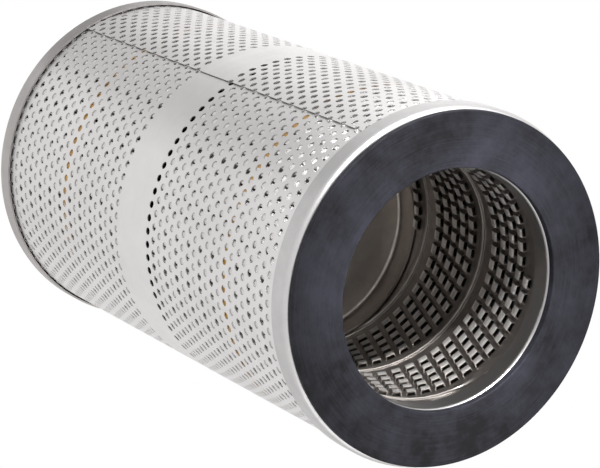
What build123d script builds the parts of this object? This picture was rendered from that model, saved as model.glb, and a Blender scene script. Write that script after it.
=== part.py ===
from build123d import *
import os
from math import cos, degrees, hypot, pi, radians, sin

# Pleated filter element, millimetres.
# +Z runs along the axis from the far end to the near end. The origin is the centre
# of the far end cap's face, on which the element stands. The lap seam of the
# perforated wrap lies at +X.

# Overall sizes
overall_length = 266.4        # far cap face to gasket face
cap_radius = 75.0             # over the skirts of the end caps
bore_radius = 49.6            # clear bore through the end caps

# End caps: one stamping, used at both ends
cap_sheet = 0.8
skirt_height = 9.9            # cap face to skirt mouth
shoulder_radius = 2.5         # outside bend from face to skirt
lip_radius = 1.6              # outside bend from face into the bore
lip_depth = 9.4               # cap face to the end of the inner flange

# Face gasket on the near cap
gasket_thickness = 3.0
gasket_shoulder_inset = 1.6   # gasket's outer edge inside the skirt's radius
gasket_bore_inset = 0.6       # gasket's inner edge outside the cap's bore
gasket_edge_radius = 0.4

# Perforated outer wrap, rolled with a lap seam
wrap_sheet = 0.6
wrap_clearance = 0.7          # radial gap between wrap and cap skirt
lap_clearance = 0.1           # radial gap between the doubled sheet and the skirt
lap_angle = 4.0               # width of the lap, degrees
plain_band_width = 26.0       # unperforated band over the joint of the packs
plain_band_drop = 1.8         # how far the band starts below the spool's foot
# The real wrap has about 3,400 round holes of 3.2 at 5.8 pitch. The solid keeps the
# staggered triangular pattern with fewer and larger six-sided openings.
openings_per_row = 15
rows_per_half = 4
opening_width = 12.5          # across flats
opening_margin = 4.0          # plain strip beside the skirts and the band

# Centre tube: a pierced strip wound in a spiral and locked along its edges
tube_sheet = 0.9
tube_clearance = 0.6          # radial gap outside the caps' inner flanges
seam_pitch = 43.0             # rise of the spiral for one turn
seam_width = 3.2
seam_height = 0.5             # how far the folded seam stands into the bore
seam_bite = 0.3               # how far the seam's section reaches into the wall
# The real tube has five slot rows between two turns of the seam, 48 slots to a turn.
slot_rows = 2
slots_per_turn = 8
slot_length = 16.0
slot_width = 7.5
slot_end_margin = 16.0        # unpierced length at each end

# Divider cup that blanks the tube at the joint between the two media packs
divider_rise = 1.9            # cup's face above the spool's upper flange
divider_sheet = 1.0
divider_flange = 12.0
divider_bend = 2.5
divider_clearance = 0.1       # radial gap inside the seam

# Media packs, their potting and the spool between them
end_potting_depth = 5.7
joint_potting_depth = 1.5
far_pack_length = 112.0
spool_length = 27.8
spool_sheet = 0.8
spool_flange_gap = 1.4        # radial gap between spool flange and wrap
pleat_count = 83
media_thickness = 0.8
media_core_gap = 1.0          # radial gap between pleat folds and centre tube
glue_bead_height = 3.4
glue_bead_thickness = 0.5
near_bead_rise = 62.7         # above the near pack's foot
far_bead_rise = 60.0          # above the far pack's foot
bead_clearance = 0.1          # radial gap between glue bead and wrap

# Sizes that follow from those above
near_face = overall_length - gasket_thickness
tube_inner = bore_radius + cap_sheet + tube_clearance
tube_outer = tube_inner + tube_sheet
wrap_outer = cap_radius - cap_sheet - wrap_clearance
wrap_inner = wrap_outer - wrap_sheet
tube_foot = lip_radius        # the tube's ends clear the bends of the cap lips
wrap_foot = shoulder_radius   # the wrap's edges clear the bends of the cap shoulders
tube_length = near_face - 2 * tube_foot
wrap_length = near_face - 2 * wrap_foot
far_pack_foot = cap_sheet + end_potting_depth
spool_foot = far_pack_foot + far_pack_length + joint_potting_depth
spool_top = spool_foot + spool_length
near_pack_foot = spool_top + joint_potting_depth
near_pack_top = near_face - far_pack_foot
media_inner = tube_outer + media_core_gap
media_outer = wrap_inner - bead_clearance - glue_bead_thickness


def corner(section, x, y):
    """The section's vertex at x, y."""
    return min(section.vertices(), key=lambda v: hypot(v.X - x, v.Y - y))


def turned(section):
    """A section drawn with x as radius and y as height, revolved about Z."""
    return revolve(Plane.XZ * section, Axis.Z)


def ring(inner, outer, foot, height):
    """A plain annulus standing on height foot."""
    section = Rectangle(outer - inner, height, align=(Align.MIN, Align.MIN))
    return turned(Pos(inner, foot) * section)


def end_potting():
    """Adhesive that fills the cap's channel, bevelled to clear the shoulder bend."""
    width = wrap_inner - tube_outer
    section = Rectangle(width, end_potting_depth, align=(Align.MIN, Align.MIN))
    section = chamfer(corner(section, width, 0), shoulder_radius - cap_sheet)
    return turned(Pos(tube_outer, cap_sheet) * section)


def turned_over(solid):
    """A far end piece as it sits at the near end."""
    return Pos(0, 0, near_face) * mirror(solid, about=Plane.XY)


def cap_stamping():
    """Channel section open upwards: inner flange, flat face, outer skirt."""
    outer, inner = cap_radius, bore_radius
    outer_wall, inner_wall = outer - cap_sheet, inner + cap_sheet
    section = make_face(Polyline(
        (inner, lip_depth), (inner, 0), (outer, 0), (outer, skirt_height),
        (outer_wall, skirt_height), (outer_wall, cap_sheet),
        (inner_wall, cap_sheet), (inner_wall, lip_depth), close=True))
    section = fillet(corner(section, outer, 0), shoulder_radius)
    section = fillet(corner(section, outer_wall, cap_sheet), shoulder_radius - cap_sheet)
    section = fillet(corner(section, inner, 0), lip_radius)
    section = fillet(corner(section, inner_wall, cap_sheet), lip_radius - cap_sheet)
    return turned(section)


def gasket():
    """Flat moulded ring glued to the near cap's face."""
    inner = bore_radius + gasket_bore_inset
    width = cap_radius - gasket_shoulder_inset - inner
    section = Rectangle(width, gasket_thickness, align=(Align.MIN, Align.MIN))
    top_corners = section.vertices().group_by(Axis.Y)[-1]
    section = fillet(top_corners, gasket_edge_radius)
    return turned(Pos(inner, near_face) * section)


def opening_cutters(low, high, first_turn):
    """Six-sided radial prisms in staggered rows between two heights."""
    hexagon = RegularPolygon(opening_width / 2, 6, major_radius=False, rotation=30)
    prism = extrude(Plane.YZ * hexagon, wrap_outer + 1) - Box(
        2 * media_outer, cap_radius, cap_radius)
    reach = opening_margin + opening_width / 2
    spacing = (high - low - 2 * reach) / (rows_per_half - 1)
    step = 360 / openings_per_row
    cutters = []
    for row in range(rows_per_half):
        stagger = (0.5 + (row + first_turn) % 2 / 2) * step
        height = low + reach + row * spacing
        cutters += [Pos(0, 0, height) * Rot(0, 0, stagger + i * step) * prism
                    for i in range(openings_per_row)]
    return cutters


def outer_wrap():
    """Perforated sheet with a plain band and a doubled strip at the lap seam."""
    sheet = ring(wrap_inner, wrap_outer, wrap_foot, wrap_length)
    lap_sheet = cap_radius - cap_sheet - lap_clearance - wrap_inner
    lap_section = Rectangle(lap_sheet, wrap_length, align=(Align.MIN, Align.MIN))
    lap = revolve(Plane.XZ * Pos(wrap_inner, wrap_foot) * lap_section, Axis.Z, lap_angle)
    band_foot = spool_foot - plain_band_drop
    cutters = opening_cutters(skirt_height, band_foot, 0)
    cutters += opening_cutters(band_foot + plain_band_width, near_face - skirt_height, 1)
    return sheet + Rot(0, 0, -lap_angle / 2) * lap - cutters


def slot_cutters():
    """Radial prisms along the spiral rows between the turns of the seam."""
    slot = extrude(Plane.YZ * Rectangle(slot_length, slot_width), tube_outer + 1)
    slot -= Box(2 * (tube_inner - seam_height - 1), slot_length * 2, slot_width * 2)
    climb = degrees(seam_pitch / (2 * pi * tube_inner))
    cutters = []
    for row in range(1, slot_rows + 1):
        start = row * seam_pitch / (slot_rows + 1)
        for i in range(-slots_per_turn, int(slots_per_turn * tube_length / seam_pitch)):
            turn = (i + 0.5 * (row % 2)) / slots_per_turn
            height = tube_foot + start + turn * seam_pitch
            if slot_end_margin < height < near_face - slot_end_margin:
                cutters.append(Pos(0, 0, height) * Rot(0, 0, 360 * turn)
                               * Rot(climb, 0, 0) * slot)
    return cutters


def lock_seam():
    """The folded edge of the strip: a helical ridge that stands into the bore."""
    radius = tube_inner + (seam_bite - seam_height) / 2
    rise = tube_length - 2 * seam_width
    path = Helix(seam_pitch, rise, radius)
    section = Plane(path @ 0, x_dir=(1, 0, 0), z_dir=path % 0) * Rectangle(
        seam_height + seam_bite, seam_width)
    return Pos(0, 0, tube_foot + seam_width) * sweep(section, path, is_frenet=True)


def center_tube():
    """Spiral lock-seam tube, pierced between the turns."""
    wall = ring(tube_inner, tube_outer, tube_foot, tube_length)
    return wall - slot_cutters() + lock_seam()


def divider_cup():
    """Blank cup, open towards the near end."""
    outer = tube_inner - seam_height - divider_clearance
    section = make_face(Polyline(
        (0, 0), (outer, 0), (outer, divider_flange),
        (outer - divider_sheet, divider_flange), (outer - divider_sheet, divider_sheet),
        (0, divider_sheet), close=True))
    section = fillet(corner(section, outer, 0), divider_bend)
    section = fillet(corner(section, outer - divider_sheet, divider_sheet),
                     divider_bend - divider_sheet)
    return turned(Pos(0, spool_top + divider_rise) * section)


def spool():
    """Flanged sleeve that keeps the two media packs apart behind the plain band."""
    flange = wrap_inner - spool_flange_gap
    sleeve = ring(tube_outer, tube_outer + spool_sheet, spool_foot, spool_length)
    lower = ring(tube_outer, flange, spool_foot, spool_sheet)
    upper = ring(tube_outer, flange, spool_top - spool_sheet, spool_sheet)
    return sleeve + lower + upper


def fold_line(outer, inner):
    """Closed zigzag with one fold out and one fold in for every pleat."""
    half = pi / pleat_count
    points = []
    for i in range(2 * pleat_count):
        radius = outer if i % 2 == 0 else inner
        points.append((radius * cos(i * half), radius * sin(i * half)))
    return Polyline(*points, close=True)


def media_pack(foot, top):
    """One pleated sheet of even thickness, closed on itself."""
    depth = media_outer - media_inner
    half_width = (media_outer + media_inner) / 2 * radians(180 / pleat_count)
    fold = media_thickness * depth / half_width
    outline = make_face(fold_line(media_outer, media_inner + fold))
    outline -= make_face(fold_line(media_outer - fold, media_inner))
    return Pos(0, 0, foot) * extrude(outline, top - foot)


def glue_bead(height):
    """Band of glue that spaces the pleat folds and holds them off the wrap."""
    return ring(media_outer, media_outer + glue_bead_thickness,
                height - glue_bead_height / 2, glue_bead_height)


nodes = {
    "far_end_cap": cap_stamping(),
    "near_end_cap": turned_over(cap_stamping()),
    "face_gasket": gasket(),
    "outer_wrap": outer_wrap(),
    "center_tube": center_tube(),
    "divider_cup": divider_cup(),
    "pack_spool": spool(),
    "far_media_pack": media_pack(far_pack_foot, far_pack_foot + far_pack_length),
    "near_media_pack": media_pack(near_pack_foot, near_pack_top),
    "far_glue_bead": glue_bead(far_pack_foot + far_bead_rise),
    "near_glue_bead": glue_bead(near_pack_foot + near_bead_rise),
    "far_end_potting": end_potting(),
    "near_end_potting": turned_over(end_potting()),
    "far_joint_potting": ring(tube_outer, media_outer, spool_foot - joint_potting_depth,
                              joint_potting_depth),
    "near_joint_potting": ring(tube_outer, media_outer, spool_top, joint_potting_depth),
}

os.makedirs("parts", exist_ok=True)
for name, solid in nodes.items():
    export_step(solid, f"parts/{name}.step")
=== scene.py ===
from math import atan, cos, pi, radians, sin, sqrt, tau

import bmesh
import bpy
import numpy as np
from mathutils import Matrix, Vector


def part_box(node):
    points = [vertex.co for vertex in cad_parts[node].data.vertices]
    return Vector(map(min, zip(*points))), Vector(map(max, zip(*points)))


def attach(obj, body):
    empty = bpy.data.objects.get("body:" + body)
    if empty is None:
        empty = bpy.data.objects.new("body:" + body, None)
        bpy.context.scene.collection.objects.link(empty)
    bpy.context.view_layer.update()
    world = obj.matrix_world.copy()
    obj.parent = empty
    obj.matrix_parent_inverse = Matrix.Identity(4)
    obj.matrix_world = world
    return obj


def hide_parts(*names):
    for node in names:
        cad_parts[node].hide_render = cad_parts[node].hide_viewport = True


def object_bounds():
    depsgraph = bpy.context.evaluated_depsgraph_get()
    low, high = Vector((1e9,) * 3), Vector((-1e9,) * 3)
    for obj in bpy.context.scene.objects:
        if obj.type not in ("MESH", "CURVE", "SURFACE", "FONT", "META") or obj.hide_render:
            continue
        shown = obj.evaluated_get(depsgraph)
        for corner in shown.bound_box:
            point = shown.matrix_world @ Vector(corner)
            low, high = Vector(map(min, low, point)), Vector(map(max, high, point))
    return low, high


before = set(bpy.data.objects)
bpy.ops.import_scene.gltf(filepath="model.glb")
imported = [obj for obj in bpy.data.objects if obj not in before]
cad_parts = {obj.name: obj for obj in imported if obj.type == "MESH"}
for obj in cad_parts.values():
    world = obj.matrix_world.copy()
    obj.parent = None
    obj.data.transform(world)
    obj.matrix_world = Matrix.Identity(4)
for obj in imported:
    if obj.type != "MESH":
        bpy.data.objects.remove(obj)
cad_box = [list(corner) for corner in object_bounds()]

MM = 0.001

# ---------------------------------------------------------------- sizes, metres

wrap_low, wrap_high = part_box("outer_wrap")
tube_low, tube_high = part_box("center_tube")
gasket_low, gasket_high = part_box("face_gasket")
cup_low, cup_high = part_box("divider_cup")

wrap_sheet = 0.45 * MM
wrap_radius = -wrap_low[0]     # outside of the single sheet, opposite the lap
columns = 80                   # holes round the wrap
spare_columns = 4              # made past a full turn and then trimmed
hole_pitch = tau * wrap_radius / columns
hole_diameter = 3.2 * MM
hole_sides = 16
row_pitch = 5.08 * MM
row_skew = 0.8 * MM            # rise of the hole rows in one turn of the sheet
band_low_row = 116.6 * MM      # hole rows beside the plain band
band_high_row = 145.8 * MM
rows_above = 23                # hole rows from the band to each end of the wrap
rows_below = 22
edge_step = 4 * MM             # faces of the plain edges and band are no taller

lap_columns = 1.5              # width of the overlap, in holes
lap_step = 0.6 * MM            # how far the doubled sheet stands out at the lap
lap_flat = 1.2                 # the step's width and its run-out, in holes
lap_run = 2.5
lap_sink = 0.12 * MM           # how far the covered end of the sheet lies deeper
lap_sink_run = 1.5             # in holes
lap_edge_reach = 0.2 * MM      # the cut edge lies this near to the +X side

tube_sheet = 0.45 * MM
tube_wall = 0.9 * MM           # of the solid tube that the strip stands for
tube_radius = tube_high[0] - tube_wall     # inside of the spiral strip
seam_pitch = 43.0 * MM         # rise of the spiral for one turn
seam_height_at_lap = 14.6 * MM  # where the spiral seam crosses the +X side
seam_lift = 0.9 * MM
spare_turns = 3                # of strip, half at each end, trimmed to the tube
plain_end = 13.0 * MM          # straps lie flat this near to the ends of the tube
cup_clear = 1.0 * MM           # and this near to the divider cup
flat_run = 1.0 * MM            # height over which the seam sinks flat
slots_per_turn = 48
slot_pitch = tau * tube_radius / slots_per_turn
slot_rows = 5
slot_row_pitch = 6.3 * MM
slot_lean = 0.2                # sideways step of the slots from row to row
strip_margin = 5.4 * MM        # plain strip between a seam and the first row
first_slot_row = strip_margin + slot_row_pitch / 2
strap_length = 4.8 * MM        # along the row
strap_width = 3.55 * MM        # across the row
strap_lift = 2.2 * MM
strap_crest = (-0.35, 0.4)     # where its rounding starts and ends, of its half width
strap_flank = 0.35 * MM        # length of the steep ends
strap_crown = 0.8              # of its lift: above this it gets the lighter strap steel, a painted highlight

pleats = 83
crest_gap = 0.95 * MM          # between neighbouring pleat crests
crest_clear = 0.12 * MM        # between the crests and the wrap sheet
crest_radius = wrap_radius - wrap_sheet - crest_clear
crest_offset = 0.004           # spread of the crests round the axis, radians
crest_sway = 0.0022            # spread of their waves from end to end, radians
pleat_sheet = 1.9 * MM
pleat_phase = radians(-0.9)    # turns the pleats against the hole columns
root_clear = 1.0 * MM          # between the inner folds and the tube
pleat_root = tube_high[0] + root_clear
pleat_rungs = 17               # rows of points from end to end
sunk_side = -0.06              # angle where the sunk end of the wrap presses on the crests
sunk_reach = 0.03              # how far round, as one less the cosine of the turn

bead_half_height = 2.5 * MM    # of the glue beads that show through the holes
bead_wander = 1.9 * MM
bead_above = 0.1 * MM          # from the crests outwards and inwards
bead_below = 1.1 * MM
bead_dip = 0.3 * MM            # how far it sinks between the crests
bead_swell = 0.25              # share by which it swells and shrinks
bead_lap_reach = 0.25          # radians before the lap over which it gives way

gasket_width = 23.2 * MM
gasket_soft = 0.45 * MM        # radius of its edges
gasket_groove = 0.8 * MM       # dark gap where the ring meets the cap

weld_distance = 0.02 * MM


# ---------------------------------------------------------------- node helpers

def add(tree, kind, **settings):
    """A node with its settings; keys that name an input socket set its value."""
    node = tree.nodes.new(kind)
    for key, value in settings.items():
        if hasattr(node, key):
            setattr(node, key, value)
        else:
            node.inputs[key.replace("_", " ")].default_value = value
    return node


def socket(tree, name, kind, value=None, out=False):
    """A socket of a node group."""
    item = tree.interface.new_socket(name, in_out="OUTPUT" if out else "INPUT", socket_type=kind)
    if value is not None:
        item.default_value = value
    return item


def join(tree, *pairs):
    """Links: each pair is an output and an input."""
    for source, target in pairs:
        tree.links.new(source, target)


def fed(tree, node, *values):
    """Feeds a node's inputs in their order with outputs or numbers; None skips one."""
    for place, value in zip(node.inputs, values):
        if isinstance(value, bpy.types.NodeSocket):
            tree.links.new(value, place)
        elif value is not None:
            place.default_value = value
    return node


def calc(tree, operation, *values):
    """The result of a math node."""
    return fed(tree, add(tree, "ShaderNodeMath", operation=operation), *values).outputs[0]


def vector_calc(tree, operation, *values):
    """The vector result of a vector math node, or its value for a length or a product."""
    node = fed(tree, add(tree, "ShaderNodeVectorMath", operation=operation), *values)
    return node.outputs["Value" if operation in ("LENGTH", "DOT_PRODUCT") else "Vector"]


def combined(tree, *parts):
    """A vector from its parts."""
    return fed(tree, add(tree, "ShaderNodeCombineXYZ"), *parts).outputs[0]


def mixed(tree, share, first, second):
    """A blend of two values; a share of 0 gives the first."""
    return fed(tree, add(tree, "ShaderNodeMix"), share, None, first, second).outputs[0]


def chained(tree, *nodes):
    """Links nodes one after another, from first output to first input."""
    for before, after in zip(nodes, nodes[1:]):
        tree.links.new(before.outputs[0], after.inputs[0])


# ---------------------------------------------------------------- mesh helpers

def linked(name, data):
    """A new object in the scene."""
    thing = bpy.data.objects.new(name, data)
    bpy.context.scene.collection.objects.link(thing)
    return thing


def taken(host, modifier):
    """The plain mesh that a host's modifier makes; the host goes with its modifier."""
    bpy.context.view_layer.update()
    evaluated = host.evaluated_get(bpy.context.evaluated_depsgraph_get())
    mesh = bpy.data.meshes.new_from_object(evaluated)
    host.modifiers.remove(modifier)
    bpy.data.objects.remove(host)
    return mesh


def grown(name, tree, inputs):
    """The plain mesh that a geometry tree grows from an empty object."""
    host = linked(name, bpy.data.meshes.new(name))
    modifier = host.modifiers.new("grow", "NODES")
    modifier.node_group = tree
    for item in tree.interface.items_tree:
        if item.item_type == "SOCKET" and item.in_out == "INPUT" and item.name in inputs:
            modifier[item.identifier] = inputs[item.name]
    host.update_tag()
    mesh = taken(host, modifier)
    mesh.name = name
    return mesh


def thickened(mesh, thickness):
    """Gives a sheet its wall, inwards from its outer side."""
    host = linked("wall", mesh)
    wall = host.modifiers.new("wall", "SOLIDIFY")
    wall.thickness = thickness
    wall.offset = -1
    wall.material_offset_rim = len(mesh.materials) - 1
    return taken(host, wall)


def coated(mesh, *materials):
    """Gives a mesh these materials, with the first one on every face."""
    mesh.materials.clear()
    for material in materials:
        mesh.materials.append(material)
    mesh.polygons.foreach_set("material_index", np.zeros(len(mesh.polygons), dtype=np.int32))
    return mesh


def reshape(mesh, rule):
    """Moves every vertex by a rule on arrays x, y, z."""
    points = np.empty(len(mesh.vertices) * 3)
    mesh.vertices.foreach_get("co", points)
    x, y, z = points.reshape(-1, 3).T
    mesh.vertices.foreach_set("co", np.stack(rule(x, y, z), axis=1).ravel())
    mesh.update()


def rebuilt(mesh, *steps):
    """Runs bmesh steps on a mesh."""
    bm = bmesh.new()
    bm.from_mesh(mesh)
    for step in steps:
        step(bm)
    bm.to_mesh(mesh)
    bm.free()
    return mesh


def welded(bm):
    """Joins vertices that lie on one another."""
    bmesh.ops.remove_doubles(bm, verts=bm.verts, dist=weld_distance)


def recalculated(bm):
    """Turns the faces of a closed shell outwards."""
    bmesh.ops.recalc_face_normals(bm, faces=bm.faces)


def trimmed(axis, low, high):
    """Cuts a sheet straight at two places along an axis."""
    def step(bm):
        for place, sign in ((low, -1), (high, 1)):
            origin, normal = Vector((0, 0, 0)), Vector((0, 0, 0))
            origin[axis], normal[axis] = place, sign
            bmesh.ops.bisect_plane(bm, geom=bm.verts[:] + bm.edges[:] + bm.faces[:],
                                   plane_co=origin, plane_no=normal, clear_outer=True)
    return step


def facing(side):
    """Turns the faces of a thin tube away from the axis (1) or towards it (-1)."""
    def step(bm):
        for face in bm.faces:
            middle = face.calc_center_median()
            if side * face.normal.dot(Vector((middle.x, middle.y, 0))) < 0:
                face.normal_flip()
    return step


def skinned(bm, rows):
    """Faces between neighbouring rows of vertices."""
    for a, b in zip(rows, rows[1:]):
        for j in range(len(a) - 1):
            bm.faces.new((a[j], b[j], b[j + 1], a[j + 1]))


def closed_ring(name, points, count):
    """A closed ring from its points, count of them in each section round the axis."""
    steps = len(points) // count
    faces = []
    for i in range(steps):
        n = (i + 1) % steps
        for j in range(count):
            k = (j + 1) % count
            faces.append((i * count + j, n * count + j, n * count + k, i * count + k))
    mesh = bpy.data.meshes.new(name)
    mesh.from_pydata(points, [], faces)
    return rebuilt(mesh, recalculated)


def piece(name, mesh, slot, *nodes, smooth=40):
    """Links a finished mesh as a piece that rides on the part."""
    mesh.name = name
    mesh.shade_smooth()
    if smooth:
        mesh.set_sharp_from_angle(angle=radians(smooth))
    thing = linked(name, mesh)
    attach(thing, "root")
    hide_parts(*nodes)
    return thing


def eased(value):
    """Smooth step from 0 to 1."""
    value = np.clip(value, 0, 1)
    return value * value * (3 - 2 * value)


# ---------------------------------------------------------------- sheets of cells

def sheet_tree(name, cell_input, pitch, rows_apart, staggered):
    """A geometry tree that sets out one cell in columns and rows and welds them.

    Its cell comes from cell_input, a function that adds what makes the cell."""
    tree = bpy.data.node_groups.new(name, "GeometryNodeTree")
    socket(tree, "Geometry", "NodeSocketGeometry", out=True)
    socket(tree, "Pitch", "NodeSocketFloat", pitch)
    socket(tree, "Row pitch", "NodeSocketFloat", rows_apart)
    socket(tree, "Columns", "NodeSocketInt", 1)
    socket(tree, "Rows", "NodeSocketInt", 1)
    socket(tree, "Material", "NodeSocketMaterial")
    cell = cell_input(tree)
    given = add(tree, "NodeGroupInput").outputs
    result = add(tree, "NodeGroupOutput")

    number = add(tree, "GeometryNodeInputIndex").outputs[0]
    column = calc(tree, "MODULO", number, given["Columns"])
    row = calc(tree, "FLOOR", calc(tree, "DIVIDE", number, given["Columns"]))
    if staggered:
        odd = calc(tree, "MODULO", row, 2)
        column = calc(tree, "MULTIPLY_ADD", odd, 0.5, column)
    spot = combined(tree, calc(tree, "MULTIPLY", column, given["Pitch"]),
                    calc(tree, "MULTIPLY", row, given["Row pitch"]))

    points = add(tree, "GeometryNodeMeshLine", mode="OFFSET")
    spread = add(tree, "GeometryNodeSetPosition")
    cells = add(tree, "GeometryNodeInstanceOnPoints")
    real = add(tree, "GeometryNodeRealizeInstances")
    whole = add(tree, "GeometryNodeMergeByDistance", Distance=weld_distance)
    finish = add(tree, "GeometryNodeSetMaterial")
    chained(tree, points, spread, cells, real, whole, finish, result)
    total = calc(tree, "MULTIPLY", given["Columns"], given["Rows"])
    join(tree, (total, points.inputs["Count"]), (spot, spread.inputs["Position"]),
         (cell, cells.inputs["Instance"]), (given["Material"], finish.inputs["Material"]))
    return tree


def punched_cell(tree):
    """A rectangle of sheet with a round hole."""
    socket(tree, "Hole diameter", "NodeSocketFloat", hole_diameter)
    given = add(tree, "NodeGroupInput").outputs
    outline = add(tree, "GeometryNodeCurvePrimitiveQuadrilateral")
    corners = add(tree, "GeometryNodeSubdivideCurve", Cuts=1)
    hole = add(tree, "GeometryNodeCurvePrimitiveCircle", Resolution=hole_sides)
    both = add(tree, "GeometryNodeJoinGeometry")
    cell = add(tree, "GeometryNodeFillCurve")
    chained(tree, outline, corners, both, cell)
    radius = calc(tree, "MULTIPLY", given["Hole diameter"], 0.5)
    join(tree, (given["Pitch"], outline.inputs["Width"]),
         (given["Row pitch"], outline.inputs["Height"]),
         (radius, hole.inputs["Radius"]), (hole.outputs["Curve"], both.inputs[0]))
    return cell.outputs[0]


def lanced_cell(tree):
    """The object given as the cell, for the pierced strip."""
    socket(tree, "Cell", "NodeSocketObject")
    given = add(tree, "NodeGroupInput").outputs
    cell = fed(tree, add(tree, "GeometryNodeObjectInfo"), given["Cell"])
    return cell.outputs["Geometry"]


# ---------------------------------------------------------------- perforated wrap

def rolled_wrap(x, y, z):
    """Rolls the flat sheet; its first edge rides over its last at the lap."""
    turn = x / wrap_radius
    rise = lap_step * eased(1 - (x - lap_flat * hole_pitch) / (lap_run * hole_pitch))
    covered = x - (columns - lap_sink_run) * hole_pitch
    sink = lap_sink * eased(covered / (lap_sink_run * hole_pitch))
    radius = wrap_radius + rise - sink + z
    return radius * np.cos(-turn), radius * np.sin(-turn), y


def plain_strips(strips, start):
    """Unpierced sheet between pairs of heights, from a start along the sheet."""
    half_pitch = hole_pitch / 2
    places = range(2 * (columns + spare_columns) + 3)

    def step(bm):
        for foot, top in strips:
            parts = max(1, int((top - foot) / edge_step))
            rungs = [foot + (top - foot) * k / parts for k in range(parts + 1)]
            skinned(bm, [[bm.verts.new((start + i * half_pitch, y, 0)) for y in rungs]
                         for i in places])
    return step


def wrap_half(name, tree, first_row, rows, shifted, band):
    """One half of the wrap: hole rows, plain edge, and the plain band below the near half."""
    length = columns * hole_pitch + lap_columns * hole_pitch
    mesh = grown(name, tree, {"Pitch": hole_pitch, "Row pitch": row_pitch,
                              "Hole diameter": hole_diameter, "Rows": rows,
                              "Columns": columns + spare_columns, "Material": wrap_steel})
    shift = -(1 + 0.5 * shifted) * hole_pitch
    reshape(mesh, lambda x, y, z: (x + shift, y + first_row, z))
    low = first_row - row_pitch / 2
    high = low + rows * row_pitch
    if band:
        strips = [(low - band, low), (high, wrap_high[2] + row_skew)]
    else:
        strips = [(wrap_low[2] - row_skew, low)]
    rebuilt(mesh, plain_strips(strips, shift - hole_pitch / 2), welded)
    reshape(mesh, lambda x, y, z: (x, y + row_skew * (x / length - 0.5), z))
    rebuilt(mesh, trimmed(0, 0, length), trimmed(1, wrap_low[2], wrap_high[2]))
    reshape(mesh, rolled_wrap)
    rebuilt(mesh, facing(1))
    coated(mesh, wrap_steel, cut_edge_shadow)
    mesh = thickened(mesh, wrap_sheet)
    # Only the sheet's own cut edge at the lap keeps the dark edge material: bare steel, darkened
    # further as a painted shadow line along the lap; the hole walls are plated.
    for face in mesh.polygons:
        x, y, z = face.center
        if face.material_index and (x < 0 or abs(y) > lap_edge_reach):
            face.material_index = 0
    return mesh


# ---------------------------------------------------------------- centre tube

def lanced_window():
    """One cell of the pierced strip: a window with its strap pushed into the bore."""
    half_pitch, half_row = slot_pitch / 2, slot_row_pitch / 2
    half_long, half_wide = strap_length / 2, strap_width / 2
    bm = bmesh.new()
    grid = [[bm.verts.new((x, y, 0)) for y in (-half_row, -half_wide, half_wide, half_row)]
            for x in (-half_pitch, -half_long, half_long, half_pitch)]
    middles = [[bm.verts.new((x, y * half_wide, 0)) for y in strap_crest]
               for x in (-half_long, half_long)]
    for i in range(3):
        for j in range(3):
            if (i, j) == (1, 1):
                continue
            face = [grid[i][j], grid[i + 1][j], grid[i + 1][j + 1], grid[i][j + 1]]
            if (i, j) == (0, 1):
                face[2:2] = middles[0]
            if (i, j) == (2, 1):
                face += reversed(middles[1])
            bm.faces.new(face)
    # The strap is rounded across its width and ends in short steep flanks.
    crown = half_long - strap_flank
    edge = half_wide - 0.1 * MM
    crest_start, crest_end = [share * half_wide for share in strap_crest]
    across = [(-edge, 0.78), (crest_start, 1), (crest_end, 0.98), (edge, 0.74)]
    spans = [[grid[1][1], *middles[0], grid[1][2]]]
    for x in (-crown, crown):
        spans.append([bm.verts.new((x, y, -strap_lift * dip)) for y, dip in across])
    spans.append([grid[2][1], *middles[1], grid[2][2]])
    skinned(bm, spans)
    mesh = bpy.data.meshes.new("lanced window")
    bm.to_mesh(mesh)
    bm.free()
    return linked("lanced window", mesh)


def strip_edges(count, width):
    """Plain margins beside the pierced rows, with the folded seam on the upper one."""
    top = strip_margin + slot_rows * slot_row_pitch
    lower = [(0, 0), (0.3 * MM, -0.25 * MM), (strip_margin * 0.6, -0.1 * MM), (strip_margin, 0)]
    fold = [(4.6, 0), (4.1, 0.55), (1.3, 0.9), (1.15, 0.5), (0.15, 0.5), (0, 0)]
    upper = [(top, 0)] + [(width - y * MM, -z * seam_lift) for y, z in fold]

    def step(bm):
        for profile, edge in ((lower, strip_margin), (upper, top)):
            lean = slot_lean * (edge - first_slot_row)
            skinned(bm, [[bm.verts.new(((i - 0.5) * slot_pitch - lean, y, z))
                          for y, z in profile] for i in range(count + 1)])
    return step


def wound(slope):
    """The rule that winds the flat strip into the spiral tube."""
    start = tube_low[2] - spare_turns / 2 * seam_pitch
    lead = (start - seam_height_at_lap) / seam_pitch * tau
    cup_foot, cup_rim = cup_low[2] - cup_clear, cup_high[2] + cup_clear

    def rule(x, y, z):
        along = x * cos(slope) - y * sin(slope)
        height = start + x * sin(slope) + y * cos(slope)
        # Straps and seam stay flat behind the cup's flange and the lips of the caps,
        # and every strap is either whole or flat.
        row = np.round((y - first_slot_row) / slot_row_pitch)
        column = np.round((x + slot_lean * (y - first_slot_row)) / slot_pitch)
        middle_y = first_slot_row + row * slot_row_pitch
        middle_x = column * slot_pitch - slot_lean * (middle_y - first_slot_row)
        middle = start + middle_x * sin(slope) + middle_y * cos(slope)
        pierced = (row >= 0) & (row < slot_rows)
        level = np.where(pierced, middle, height)
        clear = np.maximum(eased((cup_foot - level) / flat_run),
                           eased((level - cup_rim) / flat_run))
        clear *= eased((tube_high[2] - plain_end - level) / flat_run + 1)
        clear *= eased((level - tube_low[2] - plain_end) / flat_run + 1)
        clear = np.where(pierced, np.round(clear), clear)
        turn = along / tube_radius + lead
        radius = tube_radius + z * clear
        return radius * np.cos(turn), radius * np.sin(turn), height
    return rule


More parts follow.
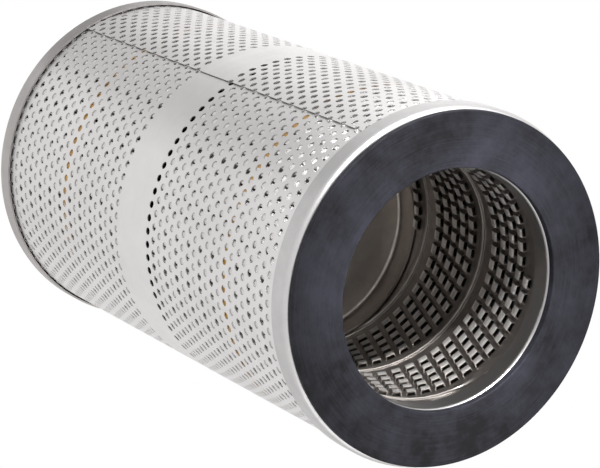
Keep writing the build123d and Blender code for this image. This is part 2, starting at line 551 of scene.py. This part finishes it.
def spiral_tube():
    """The pierced strip with its plain margins and lock seam, wound into the tube."""
    round_length = tau * tube_radius
    slope = atan(seam_pitch / round_length)
    turns = int((tube_high[2] - tube_low[2]) / seam_pitch) + spare_turns
    count = int(turns * sqrt(round_length ** 2 + seam_pitch ** 2) / slot_pitch) + 1
    window = lanced_window()
    tree = sheet_tree("lanced strip", lanced_cell, slot_pitch, slot_row_pitch, False)
    mesh = grown("spiral tube", tree,
                 {"Cell": window, "Pitch": slot_pitch, "Row pitch": slot_row_pitch,
                  "Columns": count, "Rows": slot_rows, "Material": core_steel})
    bpy.data.objects.remove(window)
    reshape(mesh, lambda x, y, z: (x - slot_lean * y, y + first_slot_row, z))
    rebuilt(mesh, strip_edges(count, seam_pitch * cos(slope)), welded)
    reshape(mesh, wound(slope))
    rebuilt(mesh, trimmed(2, tube_low[2], tube_high[2]), welded, facing(-1))
    coated(mesh, core_steel)
    mesh = thickened(mesh, tube_sheet)
    mesh.materials.append(strap_highlight_steel)
    # Painted highlight: the strap crowns, deep in the bore, get the lighter strap steel.
    for face in mesh.polygons:
        x, y, z = face.center
        if x * x + y * y < (tube_radius - strap_crown * strap_lift) ** 2:
            face.material_index = 1
    return mesh


# ---------------------------------------------------------------- media, glue, gasket

def pleat_profile():
    """Outer and inner outline of one pleat: shares of half its pitch, and radii."""
    half = pi / pleats
    crest = 1 - crest_gap / 2 / (crest_radius * half)
    root = pleat_root + pleat_sheet
    bow = [(crest * k / 4, crest_radius - 0.4 * MM * (abs(k) / 4) ** 4) for k in range(-4, 5)]
    outer = [(-1, root - 0.2 * MM), (-0.93, root)] + bow + [(0.93, root)]
    throat = crest_radius - pleat_sheet
    inner = [(-1, pleat_root), (-0.8, pleat_root), (-0.45, pleat_root + 0.1 * MM),
             (-0.16, pleat_root + 0.5 * MM), (-0.08, root), (-0.06, throat - 0.3 * MM),
             (0, throat), (0.06, throat - 0.3 * MM), (0.08, root),
             (0.16, pleat_root + 0.5 * MM), (0.45, pleat_root + 0.1 * MM), (0.8, pleat_root)]
    return np.array(outer), np.array(inner)


def pleated_pack(name, seed):
    """A thick pleated sheet whose crests nearly fill the wrap."""
    low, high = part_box(name)
    outlines = pleat_profile()
    rng = np.random.default_rng(seed)
    offset = rng.normal(0, crest_offset, pleats)
    sway = rng.normal(0, crest_sway, (pleats, 3))
    half = pi / pleats
    middle = tau * (np.arange(pleats) + 0.5) / pleats - pleat_phase
    points = []
    for k in range(pleat_rungs):
        share = k / (pleat_rungs - 1)
        height = low[2] + (high[2] - low[2]) * share
        waves = np.sin(pi * share * np.arange(1, 4) + 0.6)
        shift = offset + sway @ waves
        for outline in outlines:
            reach = (outline[:, 1] - pleat_root) / (crest_radius - pleat_root)
            turn = middle[:, None] + half * outline[:, 0] + shift[:, None] * reach
            # The crests under the sunk end of the wrap sheet give way to it.
            near_lap = np.cos(turn - sunk_side) - (1 - sunk_reach)
            sunk = lap_sink * eased(near_lap / sunk_reach)
            radius = outline[:, 1] - sunk * reach
            points.append(np.stack((radius * np.cos(turn), radius * np.sin(turn),
                                    np.full_like(turn, height)), axis=-1).reshape(-1, 3))
    loop = len(outlines[0]) * pleats
    here = np.arange(loop)
    after = np.roll(here, -1)
    faces = []
    for k in range(pleat_rungs - 1):
        outer, inner = 2 * k * loop, (2 * k + 1) * loop
        faces.append(np.stack((here, after, after + 2 * loop, here + 2 * loop), 1) + outer)
        faces.append(np.stack((after, here, here + 2 * loop, after + 2 * loop), 1) + inner)
    last = 2 * (pleat_rungs - 1) * loop
    faces.append(np.stack((after, here, here + loop, after + loop), 1))
    faces.append(np.stack((here, after, after + loop, here + loop), 1) + last)
    mesh = bpy.data.meshes.new(name)
    mesh.from_pydata(np.concatenate(points), [], np.concatenate(faces))
    coated(mesh, media, support_mesh)
    for number, face in enumerate(mesh.polygons):
        face.material_index = (number // loop) % 2 if number < last else 0
    return mesh


def glue_ring(node):
    """A bead of glue that wanders up and down over the pleat crests."""
    low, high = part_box(node)
    outer = crest_radius + bead_above
    inner = crest_radius - bead_below
    middle = (low[2] + high[2]) / 2
    steps, around = 8 * pleats, 12      # sections, and points of each
    points = []
    for i in range(steps):
        turn = tau * i / steps
        lift = 0.6 * sin(turn - 0.9) + 0.3 * sin(3 * turn + 1.2) + 0.1 * sin(7 * turn)
        height = middle + bead_wander * lift
        swell = bead_half_height * (1 + bead_swell * sin(11 * turn + 0.7) * sin(5 * turn))
        sunk = bead_dip * (0.5 + 0.5 * cos(pleats * turn))
        sunk += lap_sink * max(0, 1 - abs(turn - tau) / bead_lap_reach)
        for j in range(around):
            angle = tau * j / around
            flat = max(-1, min(1, 1.6 * cos(angle)))
            r = (outer + inner) / 2 + (outer - inner) / 2 * flat - sunk
            points.append((r * cos(turn), r * sin(turn), height + swell * sin(angle)))
    return closed_ring(node, points, around)


def gasket_ring():
    """Flat moulded ring with softened edges and a groove at its foot."""
    outer, foot = gasket_high[0], gasket_low[2]
    inner = outer - gasket_width
    crown = gasket_high[2] - gasket_soft
    corners, spans, steps = 4, 24, 192
    step_in = outer - gasket_groove
    step_up = foot + gasket_groove
    profile = [(inner, foot), (step_in, foot), (step_in, step_up), (outer, step_up),
               (outer, crown)]
    for k in range(1, corners + 1):
        angle = pi / 2 * k / corners
        profile.append((outer - gasket_soft + gasket_soft * cos(angle),
                        crown + gasket_soft * sin(angle)))
    width = gasket_width - 2 * gasket_soft
    for k in range(1, spans):
        profile.append((outer - gasket_soft - width * k / spans, gasket_high[2]))
    for k in range(corners + 1):
        angle = pi / 2 * (1 + k / corners)
        profile.append((inner + gasket_soft + gasket_soft * cos(angle),
                        crown + gasket_soft * sin(angle)))
    turns = [tau * i / steps for i in range(steps)]
    points = [(r * cos(turn), r * sin(turn), z) for turn in turns for r, z in profile]
    return closed_ring("ring", points, len(profile))


# ---------------------------------------------------------------- shader groups

def effect(name, **inputs):
    """A shader node group that turns a position and its inputs into a mask."""
    tree = bpy.data.node_groups.new(name, "ShaderNodeTree")
    socket(tree, "Position", "NodeSocketVector")
    for label, value in inputs.items():
        socket(tree, label.replace("_", " "), "NodeSocketFloat", value)
    socket(tree, "Mask", "NodeSocketFloat", out=True)
    return tree, add(tree, "NodeGroupInput").outputs, add(tree, "NodeGroupOutput").inputs


def ring_coordinates(tree, position):
    """Radius, angle and height of a position, for marks that run round the axis."""
    split = fed(tree, add(tree, "ShaderNodeSeparateXYZ"), position).outputs
    flat = vector_calc(tree, "MULTIPLY", position, (1, 1, 0))
    angle = calc(tree, "ARCTAN2", split["Y"], split["X"])
    return vector_calc(tree, "LENGTH", flat), angle, split["Z"]


def mottle_effect():
    """Soft uneven patches: a mask from two sizes of noise."""
    tree, given, result = effect("mottle", Size=0.03, Fine_share=0.4)
    scale = calc(tree, "DIVIDE", 1, given["Size"])
    broad = add(tree, "ShaderNodeTexNoise", Detail=3, Roughness=0.55)
    fine = add(tree, "ShaderNodeTexNoise", Detail=5, Roughness=0.6)
    join(tree, (given["Position"], broad.inputs["Vector"]), (scale, broad.inputs["Scale"]),
         (given["Position"], fine.inputs["Vector"]),
         (calc(tree, "MULTIPLY", scale, 9), fine.inputs["Scale"]),
         (mixed(tree, given["Fine share"], broad.outputs[0], fine.outputs[0]),
          result["Mask"]))
    return tree


def ring_marks_effect():
    """Fine lines that run round the axis, as rolling and spinning leave them."""
    tree, given, result = effect("ring marks", Lines_per_metre=2500.0, Length=1.5)
    radius, angle, height = ring_coordinates(tree, given["Position"])
    lines = given["Lines per metre"]
    spot = combined(tree, calc(tree, "MULTIPLY", angle, given["Length"]),
                    calc(tree, "MULTIPLY", radius, lines),
                    calc(tree, "MULTIPLY", height, lines))
    noise = add(tree, "ShaderNodeTexNoise", Scale=1.0, Detail=4, Roughness=0.7)
    join(tree, (spot, noise.inputs["Vector"]), (noise.outputs[0], result["Mask"]))
    return tree


mottle = mottle_effect()
ring_marks = ring_marks_effect()


# ---------------------------------------------------------------- materials

def placed(tree, group, position, **values):
    """A shader group placed in a material; returns its mask."""
    node = add(tree, "ShaderNodeGroup", node_tree=group)
    join(tree, (position, node.inputs["Position"]))
    for label, value in values.items():
        node.inputs[label.replace("_", " ")].default_value = value
    return node.outputs[0]


def between(tree, mask, low, high, from_low=0.35, from_high=0.65):
    """Maps a mask onto a range."""
    return fed(tree, add(tree, "ShaderNodeMapRange"), mask, from_low, from_high, low,
               high).outputs[0]


def tinted(tree, mask, first, second):
    """Mixes two colours by a mask."""
    mix = add(tree, "ShaderNodeMix", data_type="RGBA")
    mix.inputs[6].default_value = (*first, 1)
    mix.inputs[7].default_value = (*second, 1)
    join(tree, (mask, mix.inputs[0]))
    return mix.outputs[2]


def relief(tree, height, depth, bsdf):
    """Bump from a height mask, with its depth in metres."""
    bump = add(tree, "ShaderNodeBump", Distance=depth, Strength=1.0)
    join(tree, (height, bump.inputs["Height"]), (bump.outputs[0], bsdf.inputs["Normal"]))


def finish_of(name, metallic, specular=0.5):
    """A new material: its tree, its shader and its object position."""
    material = bpy.data.materials.new(name)
    material.use_nodes = True
    tree = material.node_tree
    bsdf = tree.nodes["Principled BSDF"]
    bsdf.inputs["Metallic"].default_value = metallic
    bsdf.inputs["Specular IOR Level"].default_value = specular
    position = add(tree, "ShaderNodeTexCoord").outputs["Object"]
    return material, tree, bsdf, position


def steel_finish(name, light, dark, rough_low, rough_high, lines=2500.0, depth=0.004 * MM,
                 patch=0.05, metallic=1.0, painted_shade_inside=None):
    """Rolled or spun sheet steel with patches and fine lines; the last argument is a radius
    inside which the colour is darkened as painted shade.
    """
    material, tree, bsdf, position = finish_of(name, metallic)
    patches = placed(tree, mottle, position, Size=patch, Fine_share=0.35)
    marks = placed(tree, ring_marks, position, Lines_per_metre=lines)
    colour = tinted(tree, between(tree, patches, 0, 1), light, dark)
    # Painted shade: inside the given radius the colour falls to two thirds, darkening the cap's
    # lip in the bore.
    if painted_shade_inside:
        radius = ring_coordinates(tree, position)[0]
        share = between(tree, radius, 0.66, 1, painted_shade_inside - 1.2 * MM, painted_shade_inside)
        shade = add(tree, "ShaderNodeVectorMath", operation="SCALE")
        join(tree, (colour, shade.inputs[0]), (share, shade.inputs["Scale"]))
        colour = shade.outputs[0]
    rough = between(tree, mixed(tree, 0.5, patches, marks), rough_low, rough_high)
    join(tree, (colour, bsdf.inputs["Base Color"]), (rough, bsdf.inputs["Roughness"]))
    relief(tree, marks, depth, bsdf)
    return material


def rubber_finish():
    """Dark moulded rubber with fine rings, scuffs and a little dust."""
    material, tree, bsdf, position = finish_of("gasket rubber", 0.0, 0.14)
    patches = placed(tree, mottle, position, Size=0.035, Fine_share=0.28)
    marks = placed(tree, ring_marks, position, Lines_per_metre=1400.0, Length=2.5)
    wear = mixed(tree, 0.22, patches, marks)
    colour = tinted(tree, between(tree, wear, 0, 1, 0.38, 0.62), (0.007, 0.007, 0.008),
                    (0.030, 0.030, 0.041))
    join(tree, (colour, bsdf.inputs["Base Color"]),
         (between(tree, wear, 0.7, 0.42), bsdf.inputs["Roughness"]))
    relief(tree, marks, 0.02 * MM, bsdf)
    return material


def media_finish():
    """Felted glass fibre: off-white with grey fibres and dark specks."""
    material, tree, bsdf, position = finish_of("glass fibre media", 0.0, 0.2)
    fibres = placed(tree, mottle, position, Size=0.0016, Fine_share=0.5)
    patches = placed(tree, mottle, position, Size=0.02, Fine_share=0.5)
    felt = between(tree, mixed(tree, 0.5, patches, fibres), 0, 1)
    join(tree, (tinted(tree, felt, (0.90, 0.885, 0.875), (0.79, 0.775, 0.765)),
                bsdf.inputs["Base Color"]))
    bsdf.inputs["Roughness"].default_value = 0.9
    relief(tree, fibres, 0.15 * MM, bsdf)
    return material


def glue_finish(name, light, dark, roughness):
    """Cured glue: two tones and a soft gloss."""
    material, tree, bsdf, position = finish_of(name, 0.0)
    patches = placed(tree, mottle, position, Size=0.012, Fine_share=0.3)
    join(tree, (tinted(tree, between(tree, patches, 0, 1), light, dark),
                bsdf.inputs["Base Color"]))
    bsdf.inputs["Roughness"].default_value = roughness
    relief(tree, patches, 0.3 * MM, bsdf)
    return material


wrap_steel = steel_finish("wrap steel", (0.80, 0.785, 0.78), (0.74, 0.727, 0.722), 0.36, 0.5,
                          lines=900.0, patch=0.06)
# The near cap's lip inside the bore is darkened with painted shade.
cap_steel = steel_finish("cap steel", (0.62, 0.61, 0.608), (0.53, 0.52, 0.518), 0.3, 0.46,
                         painted_shade_inside=51.6 * MM)
# The far cap is the same stamping as the near cap; its darker colour is painted shade on the far
# end.
shaded_far_cap_steel = steel_finish("far cap steel painted shade", (0.49, 0.465, 0.455), (0.40, 0.38, 0.375),
                             0.32, 0.48)
# Dark cut edge at the lap: bare steel, and a painted shadow line where the sheet's edge stands
# over the gap.
cut_edge_shadow = steel_finish("cut steel edge painted shadow", (0.34, 0.33, 0.33), (0.22, 0.215, 0.21), 0.4, 0.55)
core_steel = steel_finish("tube steel", (0.37, 0.345, 0.325), (0.26, 0.24, 0.225), 0.3, 0.5,
                          lines=1500.0, patch=0.03)
# The strap crowns are the tube steel painted far lighter: a painted highlight where the crowns
# catch light from the bore's mouth.
strap_highlight_steel = steel_finish("strap steel painted highlight", (0.80, 0.78, 0.76), (0.56, 0.545, 0.53), 0.26, 0.42,
                           lines=2200.0, patch=0.008, metallic=0.85)
cup_steel = steel_finish("divider steel", (0.42, 0.39, 0.36), (0.34, 0.31, 0.285), 0.32, 0.5,
                         lines=800.0)
spool_steel = steel_finish("spool steel", (0.30, 0.29, 0.28), (0.22, 0.21, 0.2), 0.4, 0.6)
support_mesh = steel_finish("support mesh", (0.16, 0.155, 0.15), (0.09, 0.085, 0.08), 0.5, 0.7,
                            lines=1200.0, patch=0.01)
rubber = rubber_finish()
media = media_finish()
amber = glue_finish("amber glue", (0.64, 0.38, 0.10), (0.44, 0.24, 0.06), 0.35)
potting = glue_finish("potting adhesive", (0.20, 0.16, 0.12), (0.12, 0.10, 0.08), 0.4)


# ---------------------------------------------------------------- build the pieces

punched = sheet_tree("punched sheet", punched_cell, hole_pitch, row_pitch, True)
band_height = band_high_row - band_low_row - row_pitch
far_first_row = band_low_row - (rows_below - 1) * row_pitch
near_wrap = wrap_half("near wrap", punched, band_high_row, rows_above, 0, band_height)
far_wrap = wrap_half("far wrap", punched, far_first_row, rows_below, (rows_below - 1) % 2, 0)
piece("near_wrap_sheet", near_wrap, "zinc_steel", "outer_wrap")
piece("far_wrap_sheet", far_wrap, "zinc_steel", "outer_wrap")
piece("spiral_center_tube", spiral_tube(), "core_steel", "center_tube")

for seed, side in enumerate(("near", "far")):
    pack = pleated_pack(side + "_media_pack", seed)
    piece(side + "_pleats", pack, "glass_media", side + "_media_pack", smooth=50)
    bead = coated(glue_ring(side + "_glue_bead"), amber)
    piece(side + "_bead", bead, "glue", side + "_glue_bead", smooth=0)

piece("gasket_ring", coated(gasket_ring(), rubber), "gasket_rubber", "face_gasket")

node_finish = {"near_end_cap": cap_steel, "far_end_cap": shaded_far_cap_steel, "divider_cup": cup_steel,
               "pack_spool": spool_steel, "near_end_potting": potting,
               "far_end_potting": potting, "near_joint_potting": potting,
               "far_joint_potting": potting}
for node, material in node_finish.items():
    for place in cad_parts[node].material_slots:
        place.material = material


# ---------------------------------------------------------------- camera

camera_azimuth = radians(35.93)
camera_reach = 679.1 * MM      # distance from the axis
camera_height = 1171.8 * MM
camera_aim = Vector((-3.4, 4.8, 154.5)) * MM
camera_roll = radians(-114.16)

eye = Vector((camera_reach * cos(camera_azimuth), camera_reach * sin(camera_azimuth),
              camera_height))
forward = (camera_aim - eye).normalized()
level = forward.cross(Vector((0, 0, 1))).normalized()
down = forward.cross(level)
right = level * cos(camera_roll) + down * sin(camera_roll)
up = -(down * cos(camera_roll) - level * sin(camera_roll))
view = Matrix((right, up, -forward)).transposed().to_4x4()
view.translation = eye
camera = linked("camera", bpy.data.cameras.new("camera"))
camera.data.lens = 170.1
camera.data.sensor_width = 36
camera.data.shift_x = -0.0038
camera.data.shift_y = 0.0112
camera.data.clip_start = 0.05
camera.data.clip_end = 20
camera.matrix_world = view
bpy.context.scene.camera = camera


# ---------------------------------------------------------------- stage and light

floor_size = 4
floor_gap = 0.2 * MM           # below the part
floor_level = 0.93             # how bright reflections see the floor
bright_side = radians(-100)    # the floor's bright sector and its grey one
bright_edge = 0.2              # cosine of the turn at its edge
bright_gain = 0.42
grey_side = radians(-1)
grey_edge = 0.9
grey_loss = 0.27
room_level = 0.75              # of the surroundings, for all but reflections


def sector(tree, position, azimuth, edge):
    """Mask of the floor around one azimuth; edge is the cosine of the turn where it ends."""
    unit = vector_calc(tree, "NORMALIZE", vector_calc(tree, "MULTIPLY", position, (1, 1, 0)))
    cosine = vector_calc(tree, "DOT_PRODUCT", unit, (cos(azimuth), sin(azimuth), 0))
    mask = add(tree, "ShaderNodeMapRange", interpolation_type="SMOOTHSTEP")
    return fed(tree, mask, cosine, edge, 1).outputs[0]


def seen_directly(tree):
    """Camera rays, and a mask of the rays that see the surroundings as they are."""
    path = add(tree, "ShaderNodeLightPath").outputs
    mirrored = calc(tree, "MAXIMUM", path["Is Glossy Ray"], path["Is Transmission Ray"])
    return path["Is Camera Ray"], calc(tree, "MAXIMUM", mirrored, path["Is Camera Ray"])


def stage_finish():
    """White for the view; reflections see it brighter on one side and grey on another."""
    material, tree, bsdf, position = finish_of("stage floor", 0.0)
    bsdf.inputs["Base Color"].default_value = (0.9, 0.9, 0.9, 1)
    bsdf.inputs["Roughness"].default_value = 0.9
    bright = sector(tree, position, bright_side, bright_edge)
    grey = sector(tree, position, grey_side, grey_edge)
    level = calc(tree, "MULTIPLY_ADD", bright, bright_gain, floor_level)
    level = calc(tree, "MULTIPLY_ADD", grey, -grey_loss, level)
    camera_ray, shown = seen_directly(tree)
    glow = add(tree, "ShaderNodeEmission")
    mix = fed(tree, add(tree, "ShaderNodeMixShader"), shown, bsdf.outputs[0], glow.outputs[0])
    join(tree, (mixed(tree, camera_ray, level, 1), glow.inputs["Strength"]),
         (mix.outputs[0], tree.nodes["Material Output"].inputs["Surface"]))
    return material


def stage_floor():
    """A wide pale floor."""
    bm = bmesh.new()
    bmesh.ops.create_grid(bm, x_segments=1, y_segments=1, size=floor_size)
    mesh = bpy.data.meshes.new("floor")
    bm.to_mesh(mesh)
    bm.free()
    mesh.materials.append(stage_finish())
    floor = linked("floor", mesh)
    floor.location.z = cad_box[0][2] - floor_gap


def room():
    """Even white surroundings."""
    world = bpy.data.worlds.new("studio")
    world.use_nodes = True
    tree = world.node_tree
    background = tree.nodes["Background"]
    background.inputs["Color"].default_value = (1, 1, 1, 1)
    strength = mixed(tree, seen_directly(tree)[1], room_level, 1)
    join(tree, (strength, background.inputs["Strength"]))
    bpy.context.scene.world = world


def lamp(name, kind, place, aim, watts):
    """A lamp that points at its aim."""
    light = bpy.data.lights.new(name, kind)
    light.energy = watts
    thing = linked(name, light)
    thing.location = place
    thing.rotation_euler = (Vector(aim) - Vector(place)).to_track_quat("-Z", "Y").to_euler()
    return light


def soft_box(name, place, size, watts):
    """A square soft box aimed at the middle of the part."""
    light = lamp(name, "AREA", place, (0, 0, 0.13), watts)
    light.shape = "SQUARE"
    light.size = size


def bore_lamp():
    """A narrow spot that shines through the near cap into the bore."""
    light = lamp("bore", "SPOT", (0.974, -0.354, 0.965), (0, 0, 0.262), 820)
    light.spot_size = radians(2.8)
    light.spot_blend = 0.4
    light.shadow_soft_size = 0.06


stage_floor()
room()
soft_box("key", (0.4, -1.2, 1.6), 1.2, 9)
soft_box("fill", (-1.2, 0.8, 1.2), 1.0, 4)
bore_lamp()
bpy.context.scene.view_settings.view_transform = "Standard"
